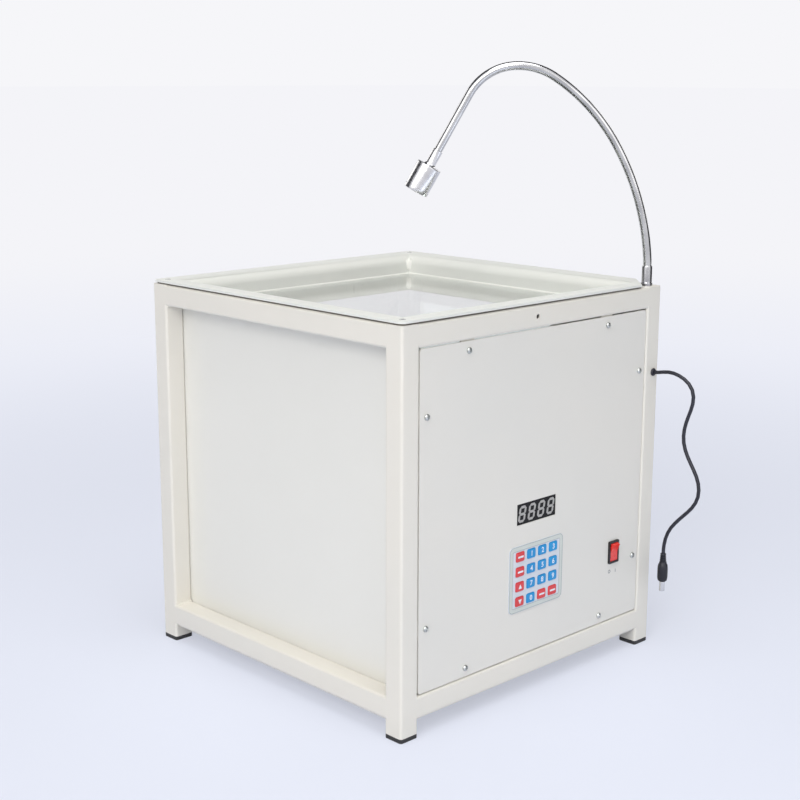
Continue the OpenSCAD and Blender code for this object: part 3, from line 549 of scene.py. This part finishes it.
def make_screws():
    """Pan heads on the panels and under the base, flat heads flush in the tray's flange."""
    pan, flat = screw_head("pan_head", PAN_HEAD), screw_head("flat_head", FLAT_HEAD)
    bm = bmesh.new()
    for number, (axis, side, low, high) in enumerate(screw_parts()):
        head, top = flat if (axis, side) == (2, 1) else pan
        out = Vector((0, 0, 0))
        out[axis] = side
        seat = (low + high) / 2
        seat[axis] = (high if side > 0 else low)[axis] - side * top * MM
        turn = out.to_track_quat("Z", "X").to_matrix().to_4x4()
        twist = Matrix.Rotation(math.radians(HEAD_TURN * number % 90), 4, "Z")
        copy = head.copy()
        copy.transform(Matrix.Translation(seat) @ turn @ twist)
        bm.from_mesh(copy)
        bpy.data.meshes.remove(copy)
    screws = add_piece("panel_screws", to_mesh("panel_screws", bm, 32), SCREW_STEEL, "root")
    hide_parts("frame_screws")


# Tray, screen and mirror

ROUNDER = 6.0  # what the scene adds to the radius of the tray's bend
SEALANT_R, SEAM_R = 0.9, 0.8
SEALANT_GAP = 0.5
SEAM_DROP = 5.0  # a seam ends this far below the flange
DAB_SIZE = Vector((5.0, 1.5, 6.5))
DAB_DROP = 4.5
DAB_INWARD = Vector((-0.9, -0.9, 0))


def wide_bend():
    """The tray's sheet with its bend from flange to wall made rounder, as the pressed one is."""
    slack = 0.01
    low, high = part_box("tray_pan")
    bm = merged_copy("tray_pan")
    for vert in bm.verts:
        sides = [(vert.co.x - low.x, 0, 1), (high.x - vert.co.x, 0, -1),
                 (vert.co.y - low.y, 1, 1), (high.y - vert.co.y, 1, -1)]
        inset = min(sides)[0]
        out = inset / MM - (WALL_IN - PAN_BEND)
        up = (vert.co.z - high.z) / MM + PAN_BEND
        spread = math.hypot(out, up)
        if out < -slack or out > PAN_BEND + slack or up < -slack or spread < slack:
            continue
        grown = (spread + ROUNDER) / spread
        for distance, axis, sign in sides:
            if distance < inset + 1e-6:
                vert.co[axis] += sign * (out * grown - ROUNDER - out) * MM
        vert.co.z += (up * grown - ROUNDER - up) * MM
    return bm


def make_tray():
    dress("tray_pan", TRAY_PAINT, 0.25, shape=wide_bend())
    dress("tray_gasket", GASKET)
    dress("tray_glass", GLASS, 0.4)
    low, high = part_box("tray_glass")
    gap = SEALANT_GAP * MM
    x0, x1, y0, y1, z = low.x - gap, high.x + gap, low.y - gap, high.y + gap, high.z
    corners = [Vector(at) for at in ((x0, y0, z), (x1, y0, z), (x1, y1, z), (x0, y1, z))]
    for i, corner in enumerate(corners):
        bead(f"glass_sealant_{i}", corner, corners[(i + 1) % 4], SEALANT_R, SILICONE,
             wobble=0.03, ripple=6)
    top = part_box("tray_pan")[1].z - SEAM_DROP * MM
    for i, corner in enumerate(corners):
        bead(f"tray_seam_{i}", corner, Vector((corner.x, corner.y, top)), SEAM_R, TRAY_PAINT,
             wobble=0.16)
    make_sealant_dab(Vector((x1, y1, top - DAB_DROP * MM)))


def make_sealant_dab(corner):
    """A dab of sealant smeared into the tray's far corner."""
    bm = bmesh.new()
    bmesh.ops.create_icosphere(bm, subdivisions=4, radius=1.0)
    for vert in bm.verts:
        x, y, z = vert.co
        lump = 1 + 0.16 * math.sin(5 * x + 2 * z) + 0.12 * math.sin(7 * z - 3 * y)
        wide = lump * (1.0 - 0.35 * z)
        tall = 1 + 0.08 * math.sin(6 * x)
        vert.co = Vector((x * wide, y, z * tall)) * DAB_SIZE * MM
    mesh = to_mesh("sealant_dab", bm, 180)
    mesh.transform(Matrix.Translation(corner + DAB_INWARD * MM)
                   @ Matrix.Rotation(math.radians(-45), 4, "Z"))
    add_piece("sealant_dab", mesh, SILICONE, "root")


def make_optics():
    dress("screen", SCREEN, 0.3)
    dress("mirror_plate", MIRROR, 0.3)
    dress("mirror_ledges", STRIP_STEEL)


# Controls, drawn flat and then stood on the front face

PRINT_GAP = 0.01
PRINT_THICK = 0.04
DIGIT_WIDE, DIGIT_TALL = 9.2, 15.0
DIGIT_BAR, DIGIT_GAP = 2.3, 0.1
DIGIT_PITCH, DIGIT_LEAN = 12.7, 10
KEY_DIGIT, KEY_WEIGHT = 6.6, 0.12
KEY_ARROW = [(-2.2, -1.9), (2.2, -1.9), (0, 2.4)]
KEY_BAR = (7.4, 1.7, 0.6)
KEY_MARK_THICK = 0.05
SWITCH_MARK, SWITCH_WEIGHT = 4.6, 0.1
SWITCH_MARKS = [("mark_off", "O", 106.6, 86.2), ("mark_on", "I", 115.9, 85.4)]


def on_front(x, z, depth):
    """Turns a shape drawn flat to stand on the front face at x and z, with its face at depth."""
    return Matrix.Translation((x, depth, z)) @ Matrix.Rotation(math.radians(90), 4, "X")


def letter(name, text, height, weight, place, finish, body):
    data = bpy.data.curves.new(name, "FONT")
    data.body = text
    data.offset = weight * MM
    data.size = height * MM
    data.align_x = "CENTER"
    data.align_y = "CENTER"
    data.extrude = PRINT_THICK / 2 * MM
    mesh = shown_mesh(new_object(name, data))
    mesh.name = name
    mesh.transform(on_front(*place))
    add_piece(name, mesh, finish, body)


def thicken(bm, faces, thickness):
    """Raises flat faces to a closed plate."""
    raised = bmesh.ops.extrude_face_region(bm, geom=faces)
    top = [part for part in raised["geom"] if isinstance(part, bmesh.types.BMVert)]
    bmesh.ops.translate(bm, verts=top, vec=(0, 0, thickness * MM))
    bmesh.ops.recalc_face_normals(bm, faces=bm.faces)


def add_plate(bm, points, thickness):
    """Adds a flat closed outline in millimetres, raised to a thin plate about its own plane."""
    verts = [bm.verts.new((x * MM, y * MM, -thickness / 2 * MM)) for x, y in points]
    thicken(bm, [bm.faces.new(verts)], thickness)


def digit_bar(x, y, length, upright):
    """One bar of a digit, pointed at both ends."""
    end = length / 2 - DIGIT_GAP
    tip = DIGIT_BAR / 2
    line = [(-end, 0), (-end + tip, tip), (end - tip, tip), (end, 0), (end - tip, -tip),
            (-end + tip, -tip)]
    return [(x + (b if upright else a), y + (a if upright else b)) for a, b in line]


def digit_bars():
    """The seven bars of a digit, in millimetres about its centre."""
    half_w, half_h = (DIGIT_WIDE - DIGIT_BAR) / 2, (DIGIT_TALL - DIGIT_BAR) / 2
    level = [digit_bar(0, y, 2 * half_w, False) for y in (-half_h, 0, half_h)]
    upright = [digit_bar(x, y, half_h, True) for x in (-half_w, half_w)
               for y in (-half_h / 2, half_h / 2)]
    return level + upright


def make_display():
    dress("display_module", DISPLAY_BLACK, 0.4)
    low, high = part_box("display_module")
    centre = (low + high) / 2
    lean = math.tan(math.radians(DIGIT_LEAN))
    bm = bmesh.new()
    for column in range(4):
        shift = (column - 1.5) * DIGIT_PITCH
        for bar in digit_bars():
            add_plate(bm, [(x + shift + y * lean, y) for x, y in bar], 2 * PRINT_THICK)
    mesh = to_mesh("display_digits", bm)
    mesh.transform(on_front(centre.x, centre.z, low.y - 2 * PRINT_GAP * MM))
    add_piece("display_digits", mesh, DIGIT_GREY, "root")


def rounded(width, height, radius, steps=6):
    """A rectangle's outline with round corners."""
    points = []
    for quarter, (sx, sy) in enumerate(((1, 1), (-1, 1), (-1, -1), (1, -1))):
        for i in range(steps + 1):
            angle = math.radians(90 * quarter + 90 * i / steps)
            points.append((sx * (width / 2 - radius) + radius * math.cos(angle),
                           sy * (height / 2 - radius) + radius * math.sin(angle)))
    return points


def keypad_ring(name, finish, inset, radius, width, height):
    """A flat printed ring inside the overlay's edge."""
    low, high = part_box("keypad_body")
    centre = (low + high) / 2
    wide, tall = (high.x - low.x) / MM - 2 * inset, (high.z - low.z) / MM - 2 * inset
    outer = rounded(wide, tall, radius)
    inner = rounded(wide - 2 * width, tall - 2 * width, max(radius - width, 0.6))
    bm = bmesh.new()
    loops = [[bm.verts.new((x * MM, y * MM, 0)) for x, y in ring] for ring in (outer, inner)]
    edges = [bm.edges.new((a, b)) for loop in loops for a, b in zip(loop, loop[1:] + loop[:1])]
    bmesh.ops.bridge_loops(bm, edges=edges)
    thicken(bm, bm.faces[:], height)
    mesh = to_mesh(name, bm)
    mesh.transform(on_front(centre.x, centre.z, low.y))
    add_piece(name, mesh, finish, "root")


def make_keypad():
    dress("keypad_body", KEYPAD_FILM, 0.15)
    keypad_ring("keypad_edge_line", KEYPAD_LINE, inset=0.3, radius=4.7, width=0.6, height=0.05)
    keypad_ring("keypad_band", KEYPAD_BAND, inset=0.9, radius=4.1, width=3.3, height=0.03)
    keypad_ring("keypad_inner_line", KEYPAD_LINE, inset=4.2, radius=1.4, width=0.5, height=0.05)
    for row in range(1, 5):
        for column in range(1, 5):
            make_key(row, column)


def make_key(row, column):
    """A key with its print: a digit on a blue one, an arrow or a bar on a red one."""
    node_name = f"key_row{row}_col{column}"
    red = column == 1 or (row == 4 and column != 2)
    finish, slot = (KEY_RED, "key_red") if red else (KEY_BLUE, "key_blue")
    dress(node_name, finish, 0.2)
    body = frame["nodes"][node_name]["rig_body"]
    low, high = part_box(node_name)
    centre = (low + high) / 2
    place = (centre.x, centre.z, low.y - PRINT_GAP * MM)
    if not red:
        digit = "0" if row == 4 else str(3 * row + column - 4)
        letter(f"digit_{digit}", digit, KEY_DIGIT, KEY_WEIGHT, place, KEY_PRINT, body)
        return
    if column == 1 and row > 2:
        up = 1 if row == 3 else -1
        mark = [(x, y * up) for x, y in KEY_ARROW]
    else:
        mark = rounded(*KEY_BAR, steps=2)
    bm = bmesh.new()
    add_plate(bm, mark, KEY_MARK_THICK)
    mesh = to_mesh(f"mark_row{row}_col{column}", bm)
    mesh.transform(on_front(*place))
    add_piece(mesh.name, mesh, KEY_PRINT, body)


def make_switch():
    dress("switch_body", SWITCH_BLACK, 0.3)
    dress("switch_rocker", ROCKER_RED, 0.45, segments=3)
    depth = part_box("front_panel")[0].y - PRINT_GAP * MM
    for name, text, x, z in SWITCH_MARKS:
        letter(name, text, SWITCH_MARK, SWITCH_WEIGHT, (x * MM, z * MM, depth), PANEL_PRINT,
               "root")


def make_inside():
    paint_node("control_board", BOARD_GREEN)
    paint_node("board_standoffs", BRASS)


# Gooseneck and lamp

NECK_RIB_PITCH = 1.7
NECK_RIB_DEPTH = 0.012  # as a share of the neck's radius
POINTS_PER_RIB = 4


def neck_place(s):
    """The neck's centre line s millimetres from its foot: the point and the lean in radians."""
    x = z = lean = 0.0
    for length, turn in NECK_RUNS:
        here = min(s, length)
        bend = math.radians(turn) * here / length
        if turn:
            r = length / math.radians(turn)
            x += r * (math.cos(lean) - math.cos(lean + bend))
            z += r * (math.sin(lean + bend) - math.sin(lean))
        else:
            x += here * math.sin(lean)
            z += here * math.cos(lean)
        lean += bend
        s -= here
        if s <= 0:
            break
    return (NECK_FOOT + NECK_HEADING * x + UP * z) * MM, lean


def neck_direction(lean):
    return NECK_HEADING * math.sin(lean) + UP * math.cos(lean)


def run_end(count):
    """How far along the neck its first runs reach."""
    return sum(length for length, _ in NECK_RUNS[:count])


def neck_radius(s):
    """The ribbed skin's radius as a share of the neck's, s millimetres from its foot."""
    return 1 - NECK_RIB_DEPTH * (1 - abs(math.sin(math.pi * s / NECK_RIB_PITCH)))


def neck_skin(name, start, end, hinge, nodes):
    """A ribbed length of the neck that spans one hinge."""
    count = int((end - start) / NECK_RIB_PITCH * POINTS_PER_RIB)
    places = [start + (end - start) * i / count for i in range(count + 1)]
    points = [neck_place(s)[0] for s in places]
    radii = [neck_radius(s) for s in places]
    skin = tube(name, points, NECK_R * MM, NECK_CHROME, None, 6, radii)
    place, lean = neck_place(hinge)
    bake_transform(skin)
    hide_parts(*nodes)


def make_neck():
    """Four skins, each round one hinge and from the middle between two to the next middle."""
    hinges = [run_end(count) for count in (2, 3, 4, 5)]
    middles = [(a + b) / 2 for a, b in zip(hinges, hinges[1:])]
    starts = [run_end(1) - 1, *middles]
    ends = [*middles, run_end(7) - LAMP_STEM + 1]
    nodes = [("neck_segment_1", "neck_segment_2"), ("neck_segment_3",), ("neck_segment_4",),
             ("neck_segment_5",)]
    for i in range(4):
        neck_skin(f"neck_skin_{i + 1}", starts[i], ends[i], hinges[i], nodes[i])


def make_ferrule():
    """The neck's foot: a collar that narrows to a sleeve, with its spigot through the flange."""
    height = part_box("neck_ferrule")[1].z / MM - FRAME_TOP
    profile = [(0, -8), (3.9, -8), (3.9, 0), (5.3, 0), (5.3, 2.6), (5.15, 3), (4.95, 3.2),
               (4.85, 4), (4.7, height - 1.2), (4.55, height - 0.5), (4.25, height), (0, height)]
    place = Matrix.Translation(Vector((NECK_FOOT.x, NECK_FOOT.y, FRAME_TOP)) * MM)
    ferrule = spun("neck_foot", profile, FERRULE_CHROME, "root", place)
    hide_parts("neck_ferrule")


def make_lamp():
    """The lamp head: a stem, a shoulder, a barrel with one groove, and an open mouth."""
    place, lean = neck_place(run_end(7))
    direction = neck_direction(lean)
    side = NECK_HEADING.cross(UP)
    turn = Matrix((direction.cross(side), side, direction)).transposed().to_4x4()
    groove, wall = 0.25, 1.8
    grooved = LAMP_R - groove
    mouth = LAMP_R - wall
    stem = [(0, -3), (0, -3.2), (4.05, -3.2), (4.05, -LAMP_STEM), (4.4, -LAMP_STEM),
            (4.8, -LAMP_STEM + 0.4), (4.8, -2.2), (5.4, -0.6), (6.2, 0)]
    barrel = [(LAMP_R - 1.2, 0), (LAMP_R - 0.5, 0.2), (LAMP_R - 0.1, 0.6), (LAMP_R, 1.2),
              (LAMP_R, LAMP_LEN - 4.4), (grooved, LAMP_LEN - 4.2), (grooved, LAMP_LEN - 3.7),
              (LAMP_R, LAMP_LEN - 3.5), (LAMP_R, LAMP_LEN - 0.8)]
    rim = [(LAMP_R - 0.25, LAMP_LEN - 0.25), (LAMP_R - 0.8, LAMP_LEN), (mouth + 0.3, LAMP_LEN),
           (mouth, LAMP_LEN - 0.3), (mouth, LAMP_LEN / 2), (0, LAMP_LEN / 2)]
    shell = spun("lamp_shell", stem + barrel + rim, LAMP_METAL, "lamp_arm",
                 Matrix.Translation(place) @ turn, steps=64)
    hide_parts("lamp_housing")
    dress("lamp_lens", LENS, 0.3)
    dress("lamp_led", LED, 0.2)


# Room, in metres

FLOOR_HALF = 60
FLOOR_PAINT = srgb(224, 229, 243)
# The floor's glow near the object is painted shade: darker and bluer than its glow far away.
FLOOR_NEAR_SHADED = srgb(231, 234, 246)
FLOOR_FAR = srgb(244, 244, 248)
BACKDROP = srgb(246, 246, 249)
ROOM_LIGHT, ROOM_STRENGTH = (1.0, 0.995, 0.98, 1.0), 0.25
OBJECT_MIDDLE = (0, 0, 0.15)
LAMP_SIZE = (1.2, 1.2)
WARM, WHITE, COOL = (1.0, 0.985, 0.96), (1, 1, 1), (0.86, 0.93, 1.0)
SHELL_RADIUS = 3.2
SHELL_GREY = srgb(84, 84, 86)


def matte_object(name, bm, colour, roughness):
    """An object of the given shape with a plain surface that has no shine."""
    mesh = bpy.data.meshes.new(name)
    bm.to_mesh(mesh)
    bm.free()
    material = bpy.data.materials.new(name)
    material.use_nodes = True
    surface = material.node_tree.nodes["Principled BSDF"]
    surface.inputs["Base Color"].default_value = colour
    surface.inputs["Roughness"].default_value = roughness
    surface.inputs["Specular IOR Level"].default_value = 0.0
    mesh.materials.append(material)
    return new_object(name, mesh)


def backdrop_rays(tree):
    """A factor that is 1 on camera, glossy and transmission rays, and 0 on light's own."""
    path = tree.nodes.new("ShaderNodeLightPath")
    total = path.outputs["Is Camera Ray"]
    for name in ("Is Glossy Ray", "Is Transmission Ray"):
        most = tree.nodes.new("ShaderNodeMath")
        most.operation = "MAXIMUM"
        tree.links.new(total, most.inputs[0])
        tree.links.new(path.outputs[name], most.inputs[1])
        total = most.outputs["Value"]
    return total


def mix_shaders(tree, share, first, second, output):
    """Mixes two shaders by a share from 0 to 1, and shows the result."""
    mix = tree.nodes.new("ShaderNodeMixShader")
    tree.links.new(share, mix.inputs["Fac"])
    tree.links.new(first, mix.inputs[1])
    tree.links.new(second, mix.inputs[2])
    tree.links.new(mix.outputs["Shader"], tree.nodes[output].inputs["Surface"])


def by_distance(tree, near, far, at_near, at_far):
    """A value that goes softly from one to the other between two distances from the origin."""
    coords = tree.nodes.new("ShaderNodeTexCoord")
    reach = tree.nodes.new("ShaderNodeVectorMath")
    reach.operation = "LENGTH"
    tree.links.new(coords.outputs["Object"], reach.inputs[0])
    spread = tree.nodes.new("ShaderNodeMapRange")
    spread.interpolation_type = "SMOOTHSTEP"
    spread.inputs["From Min"].default_value = near
    spread.inputs["From Max"].default_value = far
    spread.inputs["To Min"].default_value = at_near
    spread.inputs["To Max"].default_value = at_far
    tree.links.new(reach.outputs["Value"], spread.inputs["Value"])
    return spread.outputs["Result"]


def make_floor():
    """A pale floor that keeps the shadow near the object and fades into the backdrop far away."""
    bm = bmesh.new()
    bmesh.ops.create_grid(bm, x_segments=2, y_segments=2, size=FLOOR_HALF)
    floor = matte_object("floor", bm, FLOOR_PAINT, 0.9)
    tree = floor.data.materials[0].node_tree
    # The glow is painted darker and bluer near the object, as painted shade, and pales with
    # distance from it.
    tone = tree.nodes.new("ShaderNodeMix")
    tone.data_type = "RGBA"
    tone.inputs["A"].default_value = FLOOR_NEAR_SHADED
    tone.inputs["B"].default_value = FLOOR_FAR
    tree.links.new(by_distance(tree, 0.4, 3.5, 0.0, 1.0), tone.inputs["Factor"])
    glow = tree.nodes.new("ShaderNodeEmission")
    tree.links.new(tone.outputs["Result"], glow.inputs["Color"])
    share = tree.nodes.new("ShaderNodeMath")
    share.operation = "MULTIPLY"
    tree.links.new(backdrop_rays(tree), share.inputs[0])
    tree.links.new(by_distance(tree, 0.4, 1.8, 0.52, 1.0), share.inputs[1])
    mix_shaders(tree, share.outputs["Value"], tree.nodes["Principled BSDF"].outputs["BSDF"],
                glow.outputs["Emission"], "Material Output")


def make_world():
    world = bpy.data.worlds.new("room")
    bpy.context.scene.world = world
    world.use_nodes = True
    tree = world.node_tree
    room = tree.nodes["Background"]
    room.inputs["Color"].default_value = ROOM_LIGHT
    room.inputs["Strength"].default_value = ROOM_STRENGTH
    backdrop = tree.nodes.new("ShaderNodeBackground")
    backdrop.inputs["Color"].default_value = BACKDROP
    mix_shaders(tree, backdrop_rays(tree), room.outputs["Background"],
                backdrop.outputs["Background"], "World Output")


def area_light(name, place, target, size, power, colour):
    """A lamp at a place, turned to its target, of a size in metres and a power in watts."""
    data =bpy.data.lights.new(name, "AREA")
    data.shape = "RECTANGLE"
    data.size, data.size_y = size
    data.energy = power
    data.color = colour
    lamp = new_object(name, data)
    lamp.location = place
    lamp.rotation_mode = "QUATERNION"
    lamp.rotation_quaternion = (Vector(target) - Vector(place)).to_track_quat("-Z", "Y")


def make_lights():
    area_light("key", (-1.9, -1.3, 1.7), OBJECT_MIDDLE, LAMP_SIZE, 28.6, WARM)
    area_light("left", (-2.2, -0.2, 1.2), OBJECT_MIDDLE, LAMP_SIZE, 7.5, WARM)
    area_light("front", (-0.2, -2.2, 1.2), OBJECT_MIDDLE, LAMP_SIZE, 5.0, WARM)
    area_light("top", (-0.5, -0.5, 2.6), (-0.3, -0.3, 0), (1.8, 1.8), 29, WHITE)
    area_light("low_front", (0, -0.75, 0.10), (0, 0, 0), (0.9, 0.1), 0.45, COOL)
    area_light("right", (2.2, 0.1, 1.0), OBJECT_MIDDLE, LAMP_SIZE, 8, WARM)
    area_light("back", (0.1, 2.2, 1.0), OBJECT_MIDDLE, LAMP_SIZE, 8, WARM)


def make_dark_shell():
    """A dark shell that only bright metal picks up, at its edges. It is open below, on the
    camera's side, and in a low window behind the object, whose pale backdrop the glass shows."""
    open_toward, window_top, window_side = 0.3, 0.45, 0.93
    toward = -Vector(CAMERA_FORWARD).normalized()
    behind = Vector((-toward.x, -toward.y, 0)).normalized()
    bm = bmesh.new()
    bmesh.ops.create_uvsphere(bm, u_segments=72, v_segments=36, radius=SHELL_RADIUS)
    left_open = []
    for face in bm.faces:
        out = face.calc_center_median().normalized()
        level = Vector((out.x, out.y, 0)).normalized()
        window = out.z < window_top and level.dot(behind) > window_side
        if out.z < 0 or out.dot(toward) > open_toward or window:
            left_open.append(face)
    bmesh.ops.delete(bm, geom=left_open, context="FACES")
    shell = matte_object("dark_shell", bm, SHELL_GREY, 1.0)
    for ray in ("camera", "diffuse", "transmission", "shadow", "volume_scatter"):
        setattr(shell, "visible_" + ray, False)


make_frame()
make_panels()
make_screws()
make_tray()
make_optics()
make_display()
make_keypad()
make_switch()
make_inside()
make_neck()
make_ferrule()
make_lamp()
dress("cord_grommet", CORD_BLACK, 0.3)
make_floor()
make_world()
make_lights()
make_dark_shell()
bpy.context.scene.view_settings.view_transform = "Standard"
